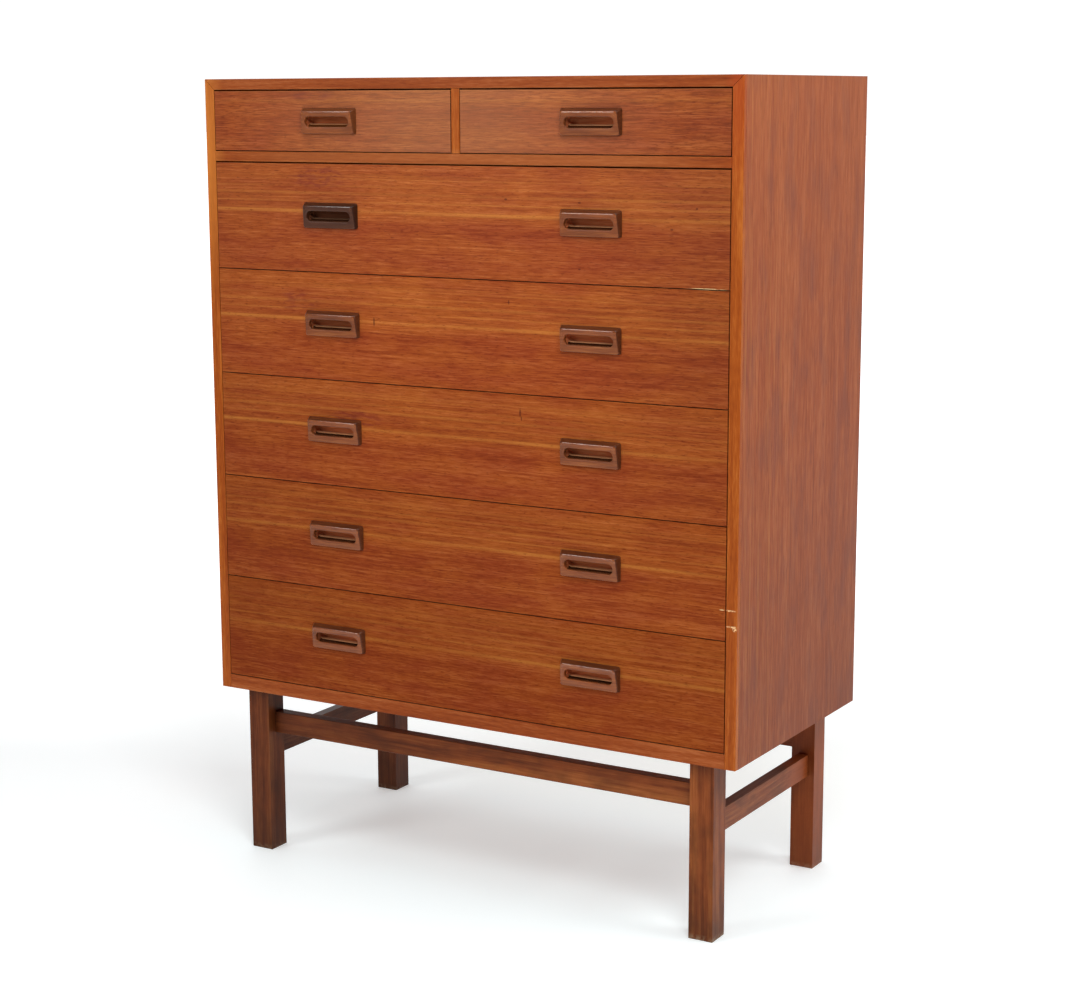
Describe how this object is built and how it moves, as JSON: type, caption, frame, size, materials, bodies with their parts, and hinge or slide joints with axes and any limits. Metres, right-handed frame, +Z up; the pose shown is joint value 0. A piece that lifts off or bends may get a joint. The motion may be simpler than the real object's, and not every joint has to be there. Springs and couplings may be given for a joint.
{
  "type": "tall chest of drawers",
  "caption": "Tall veneered chest of drawers with small drawers over long ones, carved slot pulls and a square-legged stretcher base; every drawer slides.",
  "frame": {"origin": "on the floor, at the middle of the width and of the depth over the pulls", "axes": "+Z up; the drawers face -Y; +X runs along the width, to the right of a person facing the drawers"},
  "size_m": [0.9, 0.43, 1.212],
  "materials": {
    "front_veneer": "oiled teak veneer, warm orange-brown, horizontal grain",
    "side_veneer": "oiled teak veneer, pinkish brown, upright grain on the sides",
    "lipping": "solid teak edging, brighter orange, grain along each strip",
    "pull_wood": "carved dark hardwood, satin, worn pale on the lip",
    "base_wood": "dark stained hardwood, satin",
    "drawer_wood": "bare pale hardwood, planed",
    "plywood": "bare birch plywood",
    "screw_steel": "zinc plated steel screws"
  },
  "bodies": {
    "case": {"side_panel_left": "side_veneer", "side_panel_right": "side_veneer", "top_panel": "side_veneer", "bottom_panel": "side_veneer", "back_panel": "plywood", "drawer_shelf": "side_veneer", "centre_divider": "side_veneer", "front_lippings": "lipping", "drawer_runners": "drawer_wood", "runner_screws": "screw_steel", "front_leg_left": "base_wood", "front_leg_right": "base_wood", "back_leg_left": "base_wood", "back_leg_right": "base_wood", "front_stretcher": "base_wood", "back_stretcher": "base_wood", "side_stretcher_left": "base_wood", "side_stretcher_right": "base_wood"},
    "top_left_drawer": {"top_left_drawer_front": "front_veneer", "top_left_drawer_side_left": "drawer_wood", "top_left_drawer_side_right": "drawer_wood", "top_left_drawer_back": "drawer_wood", "top_left_drawer_bottom": "plywood", "top_left_drawer_pulls": "pull_wood"},
    "top_right_drawer": {"top_right_drawer_front": "front_veneer", "top_right_drawer_side_left": "drawer_wood", "top_right_drawer_side_right": "drawer_wood", "top_right_drawer_back": "drawer_wood", "top_right_drawer_bottom": "plywood", "top_right_drawer_pulls": "pull_wood"},
    "long_drawer_1": {"long_drawer_1_front": "front_veneer", "long_drawer_1_side_left": "drawer_wood", "long_drawer_1_side_right": "drawer_wood", "long_drawer_1_back": "drawer_wood", "long_drawer_1_bottom": "plywood", "long_drawer_1_pulls": "pull_wood"},
    "long_drawer_2": {"long_drawer_2_front": "front_veneer", "long_drawer_2_side_left": "drawer_wood", "long_drawer_2_side_right": "drawer_wood", "long_drawer_2_back": "drawer_wood", "long_drawer_2_bottom": "plywood", "long_drawer_2_pulls": "pull_wood"},
    "long_drawer_3": {"long_drawer_3_front": "front_veneer", "long_drawer_3_side_left": "drawer_wood", "long_drawer_3_side_right": "drawer_wood", "long_drawer_3_back": "drawer_wood", "long_drawer_3_bottom": "plywood", "long_drawer_3_pulls": "pull_wood"},
    "long_drawer_4": {"long_drawer_4_front": "front_veneer", "long_drawer_4_side_left": "drawer_wood", "long_drawer_4_side_right": "drawer_wood", "long_drawer_4_back": "drawer_wood", "long_drawer_4_bottom": "plywood", "long_drawer_4_pulls": "pull_wood"},
    "long_drawer_5": {"long_drawer_5_front": "front_veneer", "long_drawer_5_side_left": "drawer_wood", "long_drawer_5_side_right": "drawer_wood", "long_drawer_5_back": "drawer_wood", "long_drawer_5_bottom": "plywood", "long_drawer_5_pulls": "pull_wood"}
  },
  "joints": [
    {"name": "top_left_drawer_slide", "type": "slide", "parent": "case", "child": "top_left_drawer", "axis": [0, -1, 0], "range_m": [0, 0.3]},
    {"name": "top_right_drawer_slide", "type": "slide", "parent": "case", "child": "top_right_drawer", "axis": [0, -1, 0], "range_m": [0, 0.3]},
    {"name": "long_drawer_1_slide", "type": "slide", "parent": "case", "child": "long_drawer_1", "axis": [0, -1, 0], "range_m": [0, 0.3]},
    {"name": "long_drawer_2_slide", "type": "slide", "parent": "case", "child": "long_drawer_2", "axis": [0, -1, 0], "range_m": [0, 0.3]},
    {"name": "long_drawer_3_slide", "type": "slide", "parent": "case", "child": "long_drawer_3", "axis": [0, -1, 0], "range_m": [0, 0.3]},
    {"name": "long_drawer_4_slide", "type": "slide", "parent": "case", "child": "long_drawer_4", "axis": [0, -1, 0], "range_m": [0, 0.3]},
    {"name": "long_drawer_5_slide", "type": "slide", "parent": "case", "child": "long_drawer_5", "axis": [0, -1, 0], "range_m": [0, 0.3]}
  ]
}
